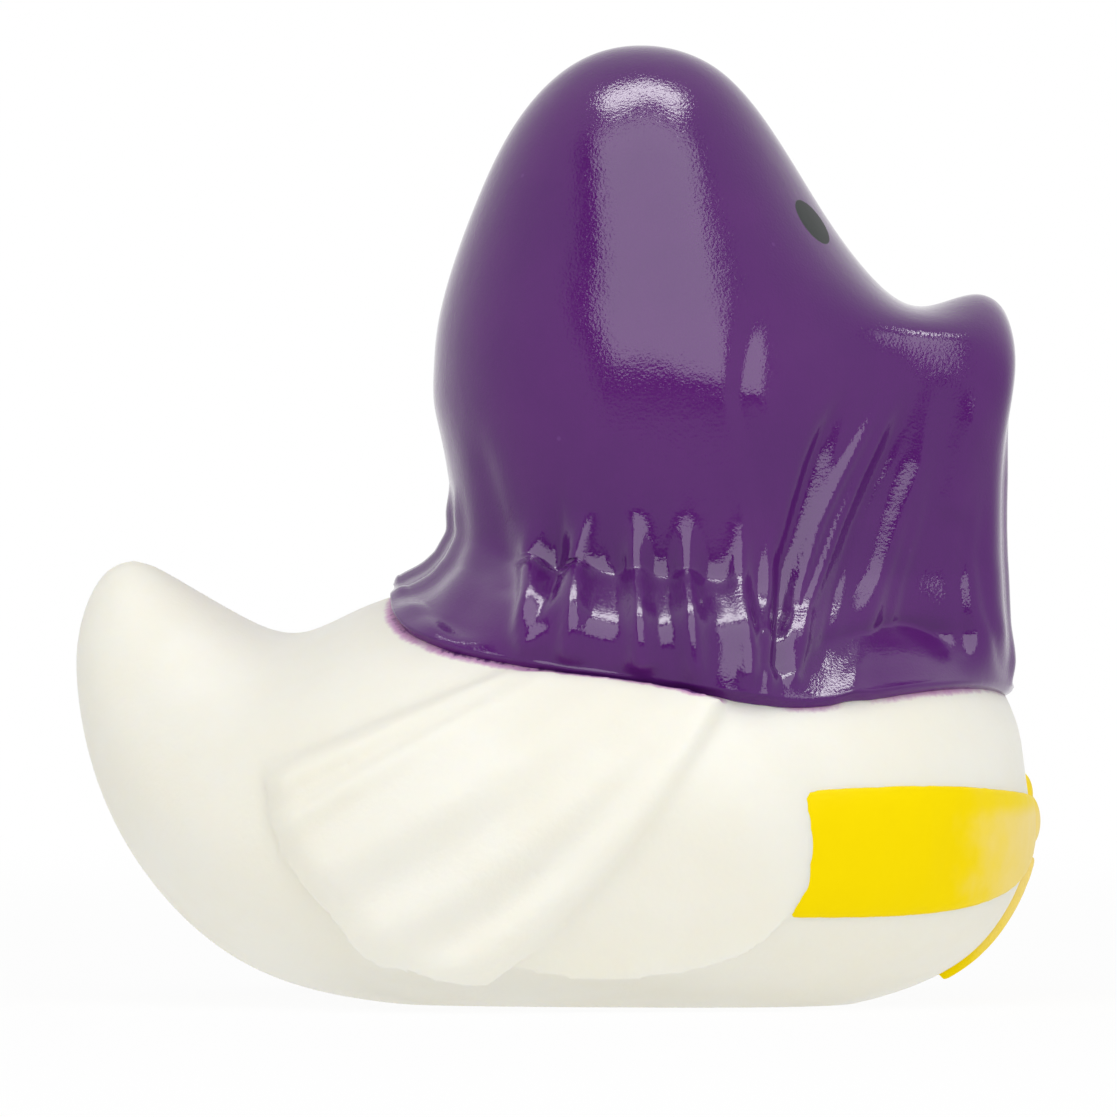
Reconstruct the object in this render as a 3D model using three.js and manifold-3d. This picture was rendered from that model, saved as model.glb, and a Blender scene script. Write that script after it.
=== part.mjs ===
// A bath duck dressed in a draped hood and a belted robe with wide pleated sleeves.
// It is one hollow moulding: hull, hood, wings, sleeves, belt and knot share one skin,
// with a vent through the flat base. Millimetres, +X towards the bill, +Z up,
// origin under the middle of the duck on the surface it stands on.
import * as THREE from "three";
import { mergeVertices } from "three/addons/utils/BufferGeometryUtils.js";
import Module from "manifold-3d";

const wasm = await Module();
wasm.setup();

// Hull
const HULL_LENGTH = 84.4;
const HULL_WIDTH = 66;
const TAIL_HEIGHT = 39;

// Hood
const HOOD_HEIGHT = 84.6;
const HEAD_WIDTH = 44.6;
const HEAD_BACK = -10.6; // the back of the head, from the middle of the hull
const HOOD_FRONT = 40.3; // the sheet's front, hanging from the bill
const BILL_WIDTH = 22.4;
const HEM_PROUD = 1.1;
const HEM_THICKNESS = 1.2;
const FOLD_DEPTH = 0.85;

// Wings and sleeves
const WING_PROUD = 1.5;
const SLEEVE_PROUD = 0.9; // where it leaves the hood's hem
const SLEEVE_FLARE = 1.4; // what the rim stands out further
const PLEAT_DEPTH = 1;
const PLEATS = 5;
const EDGE_ROUND = 0.9;

// Belt
const BELT_WIDTH = 11;
const BELT_PROUD = 0.5;
const KNOT_WIDTH = 6;
const KNOT_HEIGHT = 7;
const KNOT_PROUD = 0.9;
const BELT_END_WIDTH = 3.2;

// Skin
const WALL = 2.2;
const VENT_DIAMETER = 3;

const HEM_LEVEL = 0.73 * TAIL_HEIGHT;
const BURIED = 1.2; // how deep a raised form reaches into the hull
const FAR = 4 * HOOD_HEIGHT; // beyond the part on every side

const point = (x, y, z) => new THREE.Vector3(x, y, z);
const clamp = (t) => THREE.MathUtils.clamp(t, 0, 1);
const fade = (t) => THREE.MathUtils.smoothstep(t, 0, 1);
const steps = (count, from = 0, to = 1) =>
  Array.from({ length: count + 1 }, (_, i) => from + ((to - from) * i) / count);

// A cubic B-spline through its points, which are at t = 0, 1, 2 and so on.
class ThroughCurve {
  constructor(points, closed = false) {
    const passes = 24;
    this.closed = closed;
    this.controls = points.map((p) => p.clone());
    for (let pass = 0; pass < passes; pass++)
      points.forEach((p, i) => {
        if (!closed && (i === 0 || i === points.length - 1)) return;
        const around = this.control(i - 1).clone().add(this.control(i + 1));
        this.controls[i].copy(p).multiplyScalar(6).sub(around).divideScalar(4);
      });
  }

  control(i) {
    const { controls, closed } = this;
    const last = controls.length - 1;
    if (closed) return controls[(i + controls.length) % controls.length];
    if (i < 0) return controls[0].clone().multiplyScalar(2).sub(controls[1]);
    if (i > last) return controls[last].clone().multiplyScalar(2).sub(controls[last - 1]);
    return controls[i];
  }

  at(t) {
    const spans = this.controls.length - (this.closed ? 0 : 1);
    const place = this.closed ? (t + spans) % spans : t;
    const i = Math.min(Math.floor(place), spans - 1);
    const f = place - i;
    const weights = [
      (1 - f) ** 3,
      3 * f ** 3 - 6 * f ** 2 + 4,
      -3 * f ** 3 + 3 * f ** 2 + 3 * f + 1,
      f ** 3,
    ];
    return weights.reduce(
      (sum, weight, k) => sum.addScaledVector(this.control(i - 1 + k), weight / 6),
      point(0, 0, 0),
    );
  }
}

// The mesh over rings of points. A ring of one point is a pole, and a ring may have twice
// or half as many points as its neighbour.
function loft(rings) {
  const corners = [];
  const get = (ring, i) => ring[i % ring.length];
  for (let row = 0; row + 1 < rings.length; row++) {
    const [near, far] = [rings[row], rings[row + 1]];
    const count = Math.min(near.length, far.length);
    if (count === 1) {
      const [pole, ring] = near.length === 1 ? [near[0], far] : [far[0], [...near].reverse()];
      ring.forEach((p, i) => corners.push(pole, get(ring, i + 1), p));
      continue;
    }
    for (let i = 0; i < count; i++) {
      const a = near.length === count ? [get(near, i), get(near, i + 1)] : null;
      const b = far.length === count ? [get(far, i), get(far, i + 1)] : null;
      if (a && b) corners.push(a[0], a[1], b[1], a[0], b[1], b[0]);
      else if (a) {
        const [p, q, r] = [get(far, 2 * i), get(far, 2 * i + 1), get(far, 2 * i + 2)];
        corners.push(a[0], q, p, a[0], a[1], q, a[1], r, q);
      } else {
        const [p, q, r] = [get(near, 2 * i), get(near, 2 * i + 1), get(near, 2 * i + 2)];
        corners.push(p, q, b[0], q, b[1], b[0], q, r, b[1]);
      }
    }
  }
  return new THREE.BufferGeometry().setFromPoints(corners);
}

// The closed mesh between an outer and an inner grid of points.
function slab(outer, inner) {
  const ring = (i) => [...outer[i], ...[...inner[i]].reverse()];
  const middle = (points) => {
    const sum = points.reduce((total, p) => total.add(p), point(0, 0, 0));
    return [sum.divideScalar(points.length)];
  };
  const rings = outer.map((_, i) => ring(i));
  return loft([middle(rings[0]), ...rings, middle(rings[rings.length - 1])]);
}

function toSolid(geometry) {
  const soup = geometry.index ? geometry.toNonIndexed() : geometry;
  const bare = new THREE.BufferGeometry().setAttribute("position", soup.attributes.position);
  const merged = mergeVertices(bare, 1e-4);
  const vertProperties = new Float32Array(merged.attributes.position.array);
  const triVerts = new Uint32Array(merged.index.array);
  const solid = new wasm.Manifold(new wasm.Mesh({ numProp: 3, vertProperties, triVerts }));
  if (solid.status() !== "NoError") throw new Error(`a form isn't closed: ${solid.status()}`);
  if (solid.volume() > 0) return solid;
  return new wasm.Manifold(
    new wasm.Mesh({ numProp: 3, vertProperties, triVerts: triVerts.reverse() }),
  );
}

function toGeometry(solid) {
  const mesh = solid.getMesh();
  const geometry = new THREE.BufferGeometry();
  geometry.setAttribute("position", new THREE.BufferAttribute(mesh.vertProperties, mesh.numProp));
  geometry.setIndex(new THREE.BufferAttribute(mesh.triVerts, 1));
  return geometry;
}

const onBothSides = (geometry) => [geometry, geometry.clone().scale(1, -1, 1)];

// Where a line that comes in from outside, towards a point, first meets a shape.
function firstHit(shape, from, towards) {
  const direction = towards.clone().sub(from).normalize();
  const hits = new THREE.Raycaster(from, direction).intersectObject(shape);
  if (hits.length === 0) throw new Error("a raised form lies off the hull");
  return hits[0].point;
}

// A skin's normal, from its neighbours on both sides.
function normalAt(skin, u, v) {
  const reach = 0.02;
  const [before, after] = [Math.max(v - reach, 0), v + reach];
  const along = skin(u, after).sub(skin(u, before));
  const across = skin(u + reach, (before + after) / 2).sub(skin(u - reach, (before + after) / 2));
  return along.cross(across).normalize();
}

// HULL

// Stations from the tail to the chest, as shares of the hull's length and the tail's height:
// top x, top z, bottom x, bottom z, and the half width as a share of the hull's.
const STATIONS = [
  [0.028, 0.969, 0.028, 0.969, 0],
  [0.063, 1, 0.006, 0.872, 0.11],
  [0.108, 0.956, 0, 0.736, 0.23],
  [0.167, 0.882, 0.017, 0.533, 0.395],
  [0.233, 0.836, 0.066, 0.313, 0.62],
  [0.31, 0.903, 0.157, 0.115, 0.82],
  [0.434, 0.974, 0.305, 0.006, 0.955],
  [0.6, 1.026, 0.54, -0.026, 1],
  [0.789, 0.974, 0.742, -0.026, 0.94],
  [0.908, 0.872, 0.884, 0.044, 0.76],
  [0.977, 0.679, 0.956, 0.154, 0.51],
  [0.993, 0.538, 0.992, 0.295, 0.275],
  [1, 0.418, 1, 0.418, 0],
];
const WAIST = 0.42; // the height share at which a section is widest
const LOWER_SQUARENESS = 2.6;

const hullX = (share) => (share - 0.5) * HULL_LENGTH;
const hullTop = STATIONS.map(([x, z, , , w]) => point(hullX(x), (w * HULL_WIDTH) / 2, z * TAIL_HEIGHT));
const hullFloor = STATIONS.map(([, , x, z, w]) => point(hullX(x), (-w * HULL_WIDTH) / 2, z * TAIL_HEIGHT));
const hullOutline = new ThroughCurve([...hullTop, ...hullFloor.slice(1, -1).reverse()], true);

// The hull at a share of a turn round its section (0 at the top) and a station number.
function hull(turn, station) {
  const angle = 2 * Math.PI * turn;
  const top = hullOutline.at(station);
  const floor = hullOutline.at(-station);
  const power = Math.cos(angle) < 0 ? 2 / LOWER_SQUARENESS : 1;
  const rise = Math.sign(Math.cos(angle)) * Math.abs(Math.cos(angle)) ** power;
  const side = Math.sign(Math.sin(angle)) * Math.abs(Math.sin(angle)) ** power;
  const height = rise > 0 ? WAIST + (1 - WAIST) * rise : WAIST * (1 + rise);
  const made = floor.clone().lerp(top, height);
  made.y = side * top.y;
  return made;
}

function hullGeometry(around, rows, inset = 0) {
  const last = STATIONS.length - 1;
  const shrunk = (turn, station) =>
    hull(turn, station).addScaledVector(normalAt(hull, turn, station), -inset);
  const ring = (station) => steps(around).slice(0, -1).map((turn) => shrunk(turn, station));
  const pole = (station, towards) => {
    const middle = hull(0, towards).add(hull(0.5, towards)).divideScalar(2);
    const end = hull(0, station);
    return [end.addScaledVector(middle.sub(end).normalize(), inset)];
  };
  const rings = steps(rows, 0, last).slice(1, -1).map(ring);
  return loft([pole(0, 1), ...rings, pole(last, last - 1)]);
}

const hullShape = new THREE.Mesh(
  hullGeometry(40, 28),
  new THREE.MeshBasicMaterial({ side: THREE.DoubleSide }),
);

// The height at which a raised form leaves the hull's side. Low down it is above the form's
// own, because the sleeve and the wing hang clear of the hull's turn under.
const TURN_UNDER = 0.32 * TAIL_HEIGHT;
const rootHeight = (z) => z + 0.5 * Math.max(TURN_UNDER - z, 0);
const sideReach = (x, z) => firstHit(hullShape, point(x, FAR, rootHeight(z)), point(x, 0, rootHeight(z))).y;
const sideRoot = (x, z) => point(x, sideReach(x, z) - BURIED, rootHeight(z));

// HOOD

// Levels from the crown down: back x and z, front x and z, half width, side z, and how far
// the sheet hangs from the bill (0 on the bare head, 1 below the bill). The x values are
// shares from the back of the head to the sheet's front, the z values shares from the hem
// to the crown, and the width is a share of the head's.
const LEVELS = [
  [0.245, 0.972, 0.496, 0.961, 0.283, 0.968, 0],
  [0.146, 0.883, 0.599, 0.851, 0.552, 0.867, 0],
  [0.079, 0.765, 0.685, 0.726, 0.744, 0.745, 0],
  [0.032, 0.65, 0.769, 0.628, 0.874, 0.632, 0.1],
  [0.007, 0.561, 0.851, 0.589, 0.951, 0.552, 0.45],
  [0, 0.496, 0.945, 0.608, 0.986, 0.49, 0.8],
  [0, 0.437, 1.003, 0.549, 1, 0.428, 1],
  [0.016, 0.366, 0.988, 0.402, 1.004, 0.331, 1],
  [0.043, 0.287, 0.981, 0.243, 1.008, 0.216, 1],
  [0.034, 0.212, 0.985, 0.101, 1.062, 0.11, 1],
];
const CROWN = [0.368, 1];

// The rails of a level, from the front to the back: along, across, and the part of the way
// from the side's height to the front's or the back's.
const BARE_RAILS = [
  [1, 0, 1],
  [0.953, 0.423, 0.8],
  [0.821, 0.766, 0.35],
  [0.629, 0.966, 0.1],
  [0.413, 0.985, 0],
  [0.117, 0.643, 0.5],
  [0, 0, 1],
];
const billHalf = BILL_WIDTH / HEAD_WIDTH;
const DRAPED_RAILS = [
  [1, 0, 1],
  [0.985, 0.97 * billHalf, 0.62],
  [0.82, 1.28 * billHalf, 0.3],
  [0.65, 0.87, 0.05],
  [0.39, 1, 0],
  [0.11, 0.7, 0.5],
  [0, 0, 1],
];

// The hem on each rail, front to back: x as a share of the hull's length, y and z in shares
// of its half width and the tail's height.
const HEM_RAILS = [
  [0.985, 0, 0.715],
  [0.962, 0.35, 0.735],
  [0.872, 0.7, 0.727],
  [0.748, 0.85, 0.695],
  [0.6, 0.9, 0.75],
  [0.4, 0.53, 0.8],
  [0.337, 0, 0.938],
];
const hemHeart = point(0.14 * HULL_LENGTH, 0, 0.55 * TAIL_HEIGHT);

const hoodX = (share) => THREE.MathUtils.lerp(HEAD_BACK, HOOD_FRONT, share);
const hoodZ = (share) => THREE.MathUtils.lerp(HEM_LEVEL, HOOD_HEIGHT, share);

function levelRails([backX, backZ, frontX, frontZ, width, sideZ, drape]) {
  return BARE_RAILS.map((bare, i) => {
    const [along, across, lift] = bare.map((v, k) => THREE.MathUtils.lerp(v, DRAPED_RAILS[i][k], drape));
    const end = i < 4 ? frontZ : backZ;
    return point(
      hoodX(THREE.MathUtils.lerp(backX, frontX, along)),
      (across * width * HEAD_WIDTH) / 2,
      hoodZ(THREE.MathUtils.lerp(sideZ, end, lift)),
    );
  });
}

// A point seated on the hull, seen from the hood's heart, and so far off it.
function seatedOnHull(design, off) {
  const away = design.clone().sub(hemHeart).normalize();
  const seat = firstHit(hullShape, hemHeart.clone().addScaledVector(away, FAR), hemHeart);
  return seat.addScaledVector(away, off);
}

const hemRails = HEM_RAILS.map(([x, y, z]) =>
  seatedOnHull(point(hullX(x), (y * HULL_WIDTH) / 2, z * TAIL_HEIGHT), HEM_PROUD),
);
const acrossBack = (p) => point(p.x, -p.y, p.z);
const wholeRing = (rails) => [...rails, ...rails.slice(1, -1).reverse().map(acrossBack)];
const RAILS = 2 * (BARE_RAILS.length - 1);
const hoodRings = [...LEVELS.map(levelRails), hemRails].map(wholeRing);
const hoodMeridians = steps(RAILS).slice(0, -1).map((_, rail) => {
  const crown = point(hoodX(CROWN[0]), 0, hoodZ(CROWN[1]));
  const there = hoodRings.map((ring) => ring[rail]);
  const back = hoodRings.map((ring) => ring[(rail + RAILS / 2) % RAILS]).reverse();
  return new ThroughCurve([...back, crown, ...there]);
});

// The hood without folds, at a share of a turn (0 at the front) and a level number.
const hoodRingCache = new Map();
function smoothHood(turn, level) {
  if (!hoodRingCache.has(level)) {
    const ring = hoodMeridians.map((meridian) => meridian.at(hoodRings.length + level));
    hoodRingCache.set(level, new ThroughCurve(ring, true));
  }
  return hoodRingCache.get(level).at((((turn % 1) + 1) % 1) * RAILS);
}

// Folds as seen from the side, from their upper end to the hem: height as a share of the
// fold depth, width in mm, and then shares from the back of the head to the sheet's front
// and from the hem to the crown.
const SIDE_FOLDS = [
  [-1, 1.3, [0.215, 0.329], [0.213, 0.205], [0.201, 0.137], [0.148, 0.054]],
  [-0.8, 1.4, [0.067, 0.412], [0.095, 0.317], [0.117, 0.249], [0.128, 0.153]],
  [0.8, 1.6, [0.036, 0.412], [0.058, 0.276], [0.071, 0.208], [0.058, 0.157], [-0.019, 0.064]],
  [-0.7, 1.3, [0.022, 0.182], [-0.068, 0.146]],
  [1.1, 1.5, [0.172, 0.24], [0.17, 0.134], [0.158, 0.045]],
  [1.1, 1.6, [0.264, 0.258], [0.25, 0.16], [0.24, 0.045]],
  [1.1, 1.7, [0.354, 0.258], [0.366, 0.151], [0.39, 0.045]],
  [1.1, 1.7, [0.45, 0.258], [0.456, 0.151], [0.482, 0.027]],
  [0.9, 1.3, [0.564, 0.212], [0.564, 0.098], [0.566, -0.008]],
  [-1.2, 1.8, [0.722, 0.467], [0.684, 0.4], [0.657, 0.336], [0.633, 0.265], [0.61, 0.182], [0.582, 0.034]],
  [1.2, 1.9, [0.797, 0.458], [0.752, 0.376], [0.714, 0.29], [0.66, 0.18], [0.633, 0.11], [0.609, 0.029]],
  [1.1, 1.9, [0.847, 0.455], [0.826, 0.327], [0.79, 0.244], [0.769, 0.159], [0.755, 0.075], [0.773, -0.005]],
  [0.8, 1.7, [0.957, 0.476], [0.916, 0.377]],
  [-0.7, 1.4, [0.959, 0.357], [0.942, 0.201], [0.959, 0.116], [0.983, 0.054], [0.997, -0.005]],
];

// Folds as seen from the front or the back: the same, with shares of the head's half width.
const FRONT_FOLDS = [
  [0.7, 1.3, [0.202, 0.453], [0.188, 0.24], [0.233, 0.009]],
  [-0.6, 1.3, [0, 0.382], [0, 0.009]],
];
const BACK_FOLDS = [
  [0.9, 1.6, [0, 0.311], [0, 0.151]],
  [0.9, 1.7, [0.247, 0.311], [0.283, 0.222], [0.359, 0.116]],
  [0.9, 1.7, [0.493, 0.311], [0.538, 0.205], [0.673, 0.098]],
];

const placed = (folds, placeX) =>
  folds.map(([height, width, ...path]) => [height, width, ...path.map(([a, b]) => [placeX(a), hoodZ(b)])]);
const halfHeads = (share) => (share * HEAD_WIDTH) / 2;
const sideFolds = placed(SIDE_FOLDS, hoodX);
const frontFolds = placed(FRONT_FOLDS, halfHeads);
const backFolds = placed(BACK_FOLDS, halfHeads);

function nearestOnPath(path, p) {
  let best = { distance: Infinity, share: 0 };
  for (let i = 0; i + 1 < path.length; i++) {
    const [a, b] = [path[i], path[i + 1]];
    const span = [b[0] - a[0], b[1] - a[1]];
    const length2 = span[0] ** 2 + span[1] ** 2;
    const t = clamp(((p[0] - a[0]) * span[0] + (p[1] - a[1]) * span[1]) / length2);
    const distance = Math.hypot(p[0] - a[0] - t * span[0], p[1] - a[1] - t * span[1]);
    if (distance < best.distance) best = { distance, share: (i + t) / (path.length - 1) };
  }
  return best;
}

function foldHeight(folds, p) {
  return folds.reduce((sum, [height, width, ...path]) => {
    const { distance, share } = nearestOnPath(path, p);
    return sum + height * FOLD_DEPTH * fade(0.15 + 2.5 * share) * Math.exp(-((distance / width) ** 2));
  }, 0);
}

// The hood with its folds, which are seen from the side on the sides, and so on.
function hood(turn, level) {
  const made = smoothHood(turn, level);
  const normal = normalAt(smoothHood, turn, level);
  const sides = fade(2 * Math.abs(normal.y));
  const ends = normal.x > 0 ? frontFolds : backFolds;
  const height =
    sides * foldHeight(sideFolds, [made.x, made.z]) +
    (1 - sides) * foldHeight(ends, [Math.abs(made.y), made.z]);
  return made.addScaledVector(normal, height);
}

// How finely the hood is drawn: coarse over the smooth crown, fine where it has folds.
const BARE_LEVELS = [0.3, 0.7, 1.2, 1.7, 2.3, 2.9, 3.4, 3.9];
const DRAPE_START = 4.4;
const DRAPE_ROWS = 14;
const HOOD_COLUMNS = 92;

function hoodGeometry() {
  const last = hoodRings.length;
  const ring = (count) => (level) => steps(count).slice(0, -1).map((turn) => hood(turn, level));
  const edge = ring(HOOD_COLUMNS)(last);
  const tucked = (off, drop) =>
    edge.map((p) => {
      const made = seatedOnHull(p, off);
      made.z -= drop;
      return made;
    });
  return loft([
    [smoothHood(0, 0)],
    ...BARE_LEVELS.map(ring(HOOD_COLUMNS / 2)),
    ...steps(DRAPE_ROWS, DRAPE_START, last - 0.12).map(ring(HOOD_COLUMNS)),
    edge,
    tucked(0.45 * HEM_PROUD, 0.5 * HEM_THICKNESS),
    tucked(-BURIED, 0.5 * HEM_THICKNESS),
    [hemHeart],
  ]);
}

function hoodCavity() {
  const last = hoodRings.length - 1;
  const ring = (level) =>
    steps(28).slice(0, -1).map((turn) =>
      smoothHood(turn, level).addScaledVector(normalAt(smoothHood, turn, level), -WALL),
    );
  const crown = smoothHood(0, 0);
  crown.z -= WALL;
  const rings = steps(11, 0.8, last).map(ring);
  return loft([[crown], ...rings, [hemHeart]]);
}

// WING AND SLEEVE

// The wing's outline from the side, in shares of the hull's length and the tail's height.
const WING_OUTLINE = [
  [0.716, 0.64],
  [0.761, 0.546],
  [0.773, 0.387],
  [0.744, 0.213],
  [0.687, 0.115],
  [0.59, 0.069],
  [0.493, 0.072],
  [0.41, 0.167],
  [0.398, 0.385],
  [0.481, 0.59],
  [0.611, 0.687],
];
const wingOutline = new ThroughCurve(WING_OUTLINE.map(([x, z]) => point(hullX(x), 0, z * TAIL_HEIGHT)), true);

function wingGeometry() {
  const heart = WING_OUTLINE.reduce((sum, _, i) => sum.add(wingOutline.at(i)), point(0, 0, 0));
  heart.divideScalar(WING_OUTLINE.length);
  const onDome = (share, p) => {
    const made = heart.clone().lerp(p, share);
    made.y = sideReach(made.x, made.z) + WING_PROUD * (1 - 0.75 * share ** 4);
    return made;
  };
  const rim = steps(36).slice(0, -1).map((turn) => wingOutline.at(turn * WING_OUTLINE.length));
  const domes = [0.35, 0.65, 0.85, 0.95, 1].map((share) => rim.map((p) => onDome(share, p)));
  const roots = rim.map((p) => sideRoot(p.x, p.z));
  const back = sideRoot(heart.x, heart.z);
  back.y -= BURIED;
  return loft([[onDome(0, heart)], ...domes, roots, [back]]);
}

// The sleeve's creases from the side, in the same shares: at the hem, half way and at the rim.
const SLEEVE_CREASES = [
  [[0.449, 0.763], [0.323, 0.664], [0.198, 0.549]],
  [[0.472, 0.763], [0.323, 0.587], [0.203, 0.451]],
  [[0.533, 0.754], [0.35, 0.531], [0.217, 0.349]],
  [[0.62, 0.731], [0.432, 0.423], [0.263, 0.213]],
  [[0.653, 0.718], [0.496, 0.333], [0.326, 0.087]],
  [[0.678, 0.695], [0.582, 0.345], [0.434, 0.052]],
];
const creases = [0, 1, 2].map(
  (k) => new ThroughCurve(SLEEVE_CREASES.map((c) => point(hullX(c[k][0]), 0, c[k][1] * TAIL_HEIGHT))),
);

// The sleeve at a share across its pleats (0 at the back) and down to its rim.
function sleeve(across, down) {
  const spans = SLEEVE_CREASES.length - 1;
  const made = new ThroughCurve(creases.map((crease) => crease.at(across * spans))).at(2 * down);
  const pleat = 0.5 - 0.5 * Math.cos(2 * Math.PI * PLEATS * across);
  const flare = SLEEVE_FLARE * down ** 1.5;
  const relief = PLEAT_DEPTH * (pleat - 0.5) * fade(0.3 + down);
  made.y = sideReach(made.x, made.z) + SLEEVE_PROUD + WING_PROUD * across + flare + relief;
  return made;
}

function sleeveGeometry() {
  const acrossSteps = steps(6 * PLEATS);
  const rows = [...steps(7, 0, 0.93), 0.98, 1];
  const rounded = (across, down) => {
    const made = sleeve(across, down);
    const fromEdge = Math.min(1 - down, 4 * across, 4 * (1 - across));
    made.y -= EDGE_ROUND * (1 - fade(fromEdge / 0.06));
    return made;
  };
  const outer = rows.map((down) => acrossSteps.map((across) => rounded(across, down)));
  const inner = outer.map((row) => row.map((p) => sideRoot(p.x, p.z)));
  return slab(outer, inner);
}

// BELT

// The belt's edges from the side, in the same shares: x, lower z and upper z, from under
// the wing to the knot.
const BELT_EDGES = [
  [0.72, 0.21, 0.495],
  [0.82, 0.213, 0.505],
  [0.926, 0.256, 0.485],
  [0.99, 0.34, 0.468],
];
const KNOT_LEVEL = 0.42 * TAIL_HEIGHT;

function beltGeometry() {
  const heart = point(hullX(0.66), 0, KNOT_LEVEL);
  const edges = new ThroughCurve(BELT_EDGES.map(([, low, high]) => point(low, high, 0)));
  const reach = 0.87 * (Math.PI / 2); // the belt goes under the wing on each side
  const angles = steps(36, -reach, reach);
  const band = (offs) =>
    angles.map((angle) => {
      const from = (1 - Math.abs(angle) / reach) * (BELT_EDGES.length - 1);
      const { x: low, y: high } = edges.at(from);
      const middle = ((low + high) / 2) * TAIL_HEIGHT;
      const half = ((high - low) / 0.28) * (BELT_WIDTH / 2);
      const away = point(Math.cos(angle), Math.sin(angle), 0);
      return offs.map(([off, share]) => {
        const centre = heart.clone().setZ(middle + share * half);
        const seat = firstHit(hullShape, centre.clone().addScaledVector(away, FAR), centre);
        return seat.addScaledVector(away, off);
      });
    });
  const outer = band([
    [0.1, -1],
    [BELT_PROUD, -0.86],
    [BELT_PROUD, 0],
    [BELT_PROUD, 0.86],
    [0.1, 1],
  ]);
  const inner = band([-1, -0.86, 0, 0.86, 1].map((share) => [-BURIED, share]));
  return slab(outer, inner);
}

function ball(width, depth, height) {
  return new THREE.SphereGeometry(0.5, 14, 10).scale(depth, width, height);
}

// The knot is a squashed ball half sunk in the chest, with two smaller ones above it.
function knotGeometries() {
  const depth = 0.5 * KNOT_WIDTH;
  const front = hullX(1) + KNOT_PROUD;
  const middle = front - depth / 2;
  const knot = ball(KNOT_WIDTH, depth, 0.75 * KNOT_HEIGHT).translate(middle, 0, KNOT_LEVEL - 0.06 * KNOT_HEIGHT);
  const lobe = ball(0.6 * KNOT_WIDTH, 0.87 * depth, 0.6 * KNOT_HEIGHT);
  lobe.translate(middle - 0.17 * depth, 0.28 * KNOT_WIDTH, KNOT_LEVEL + 0.28 * KNOT_HEIGHT);
  return [knot, ...onBothSides(lobe)];
}

// One hanging end of the belt, laid on the chest from the knot down.
function beltEndGeometry() {
  const route = new ThroughCurve([
    point(hullX(1), 1.2, 0.33 * TAIL_HEIGHT),
    point(hullX(0.97), 3, 0.2 * TAIL_HEIGHT),
    point(hullX(0.905), 4.8, 0.06 * TAIL_HEIGHT),
  ]);
  const heart = point(hullX(0.72), 0, 0.5 * TAIL_HEIGHT);
  const strip = (offs) =>
    steps(9).map((share) => {
      const middle = route.at(2 * share);
      return offs.map(([off, side]) => {
        const design = middle.clone().add(point(0, (side * BELT_END_WIDTH) / 2, 0));
        const away = design.sub(heart).normalize();
        const seat = firstHit(hullShape, heart.clone().addScaledVector(away, FAR), heart);
        return seat.addScaledVector(away, off);
      });
    });
  const proud = 0.8 * KNOT_PROUD;
  const outer = strip([[0.1, -1], [proud, -0.75], [0.8 * proud, 0], [proud, 0.75], [0.1, 1]]);
  const inner = strip([-1, -0.75, 0, 0.75, 1].map((side) => [-BURIED, side]));
  return slab(outer, inner);
}

// THE MOULDING

function duckGeometry() {
  const raised = [
    hoodGeometry(),
    ...onBothSides(wingGeometry()),
    ...onBothSides(sleeveGeometry()),
    beltGeometry(),
    ...knotGeometries(),
    ...onBothSides(beltEndGeometry()),
  ];
  const ground = new THREE.BoxGeometry(FAR, FAR, FAR).translate(0, 0, -FAR / 2);
  const innerFloor = new THREE.BoxGeometry(FAR, FAR, FAR).translate(0, 0, WALL - FAR / 2);
  const ventRadius = VENT_DIAMETER / 2;
  const vent = new THREE.CylinderGeometry(ventRadius, ventRadius, 6 * WALL, 24).rotateX(Math.PI / 2);
  const cavity = toSolid(hullGeometry(20, 16, WALL)).add(toSolid(hoodCavity()));
  return toGeometry(
    raised
      .reduce((body, form) => body.add(toSolid(form)), toSolid(hullShape.geometry))
      .subtract(toSolid(ground))
      .subtract(cavity.subtract(toSolid(innerFloor)))
      .subtract(toSolid(vent)),
  );
}

function makeDuck() {
  const geometry = duckGeometry();
  geometry.computeBoundingBox();
  const { min, max } = geometry.boundingBox;
  geometry.translate(-(min.x + max.x) / 2, -(min.y + max.y) / 2, -min.z);
  geometry.computeVertexNormals();
  const duck = new THREE.Mesh(
    geometry,
    new THREE.MeshStandardMaterial({ color: 0xf6f5ed, roughness: 0.5, metalness: 0 }),
  );
  duck.name = "duck";
  return duck;
}

const part = new THREE.Group();
part.add(makeDuck());

export default part;
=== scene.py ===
"""A bath duck in a draped purple hood, with pleated sleeves and a knotted yellow belt.

The duck is one hollow moulding. Its glossy hood, its white body and its belt are lofted skins:
each starts as a sphere of as many vertices as the loft has points, and its vertices are moved
to the loft. Wings and sleeves are then fused with the hull, and the knot with the belt's ends.
The forms are worked out in millimetres from the middle of the hull.
"""
import math
import bpy
import numpy as np
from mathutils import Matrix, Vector
from mathutils.bvhtree import BVHTree
from mathutils.kdtree import KDTree


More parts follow.
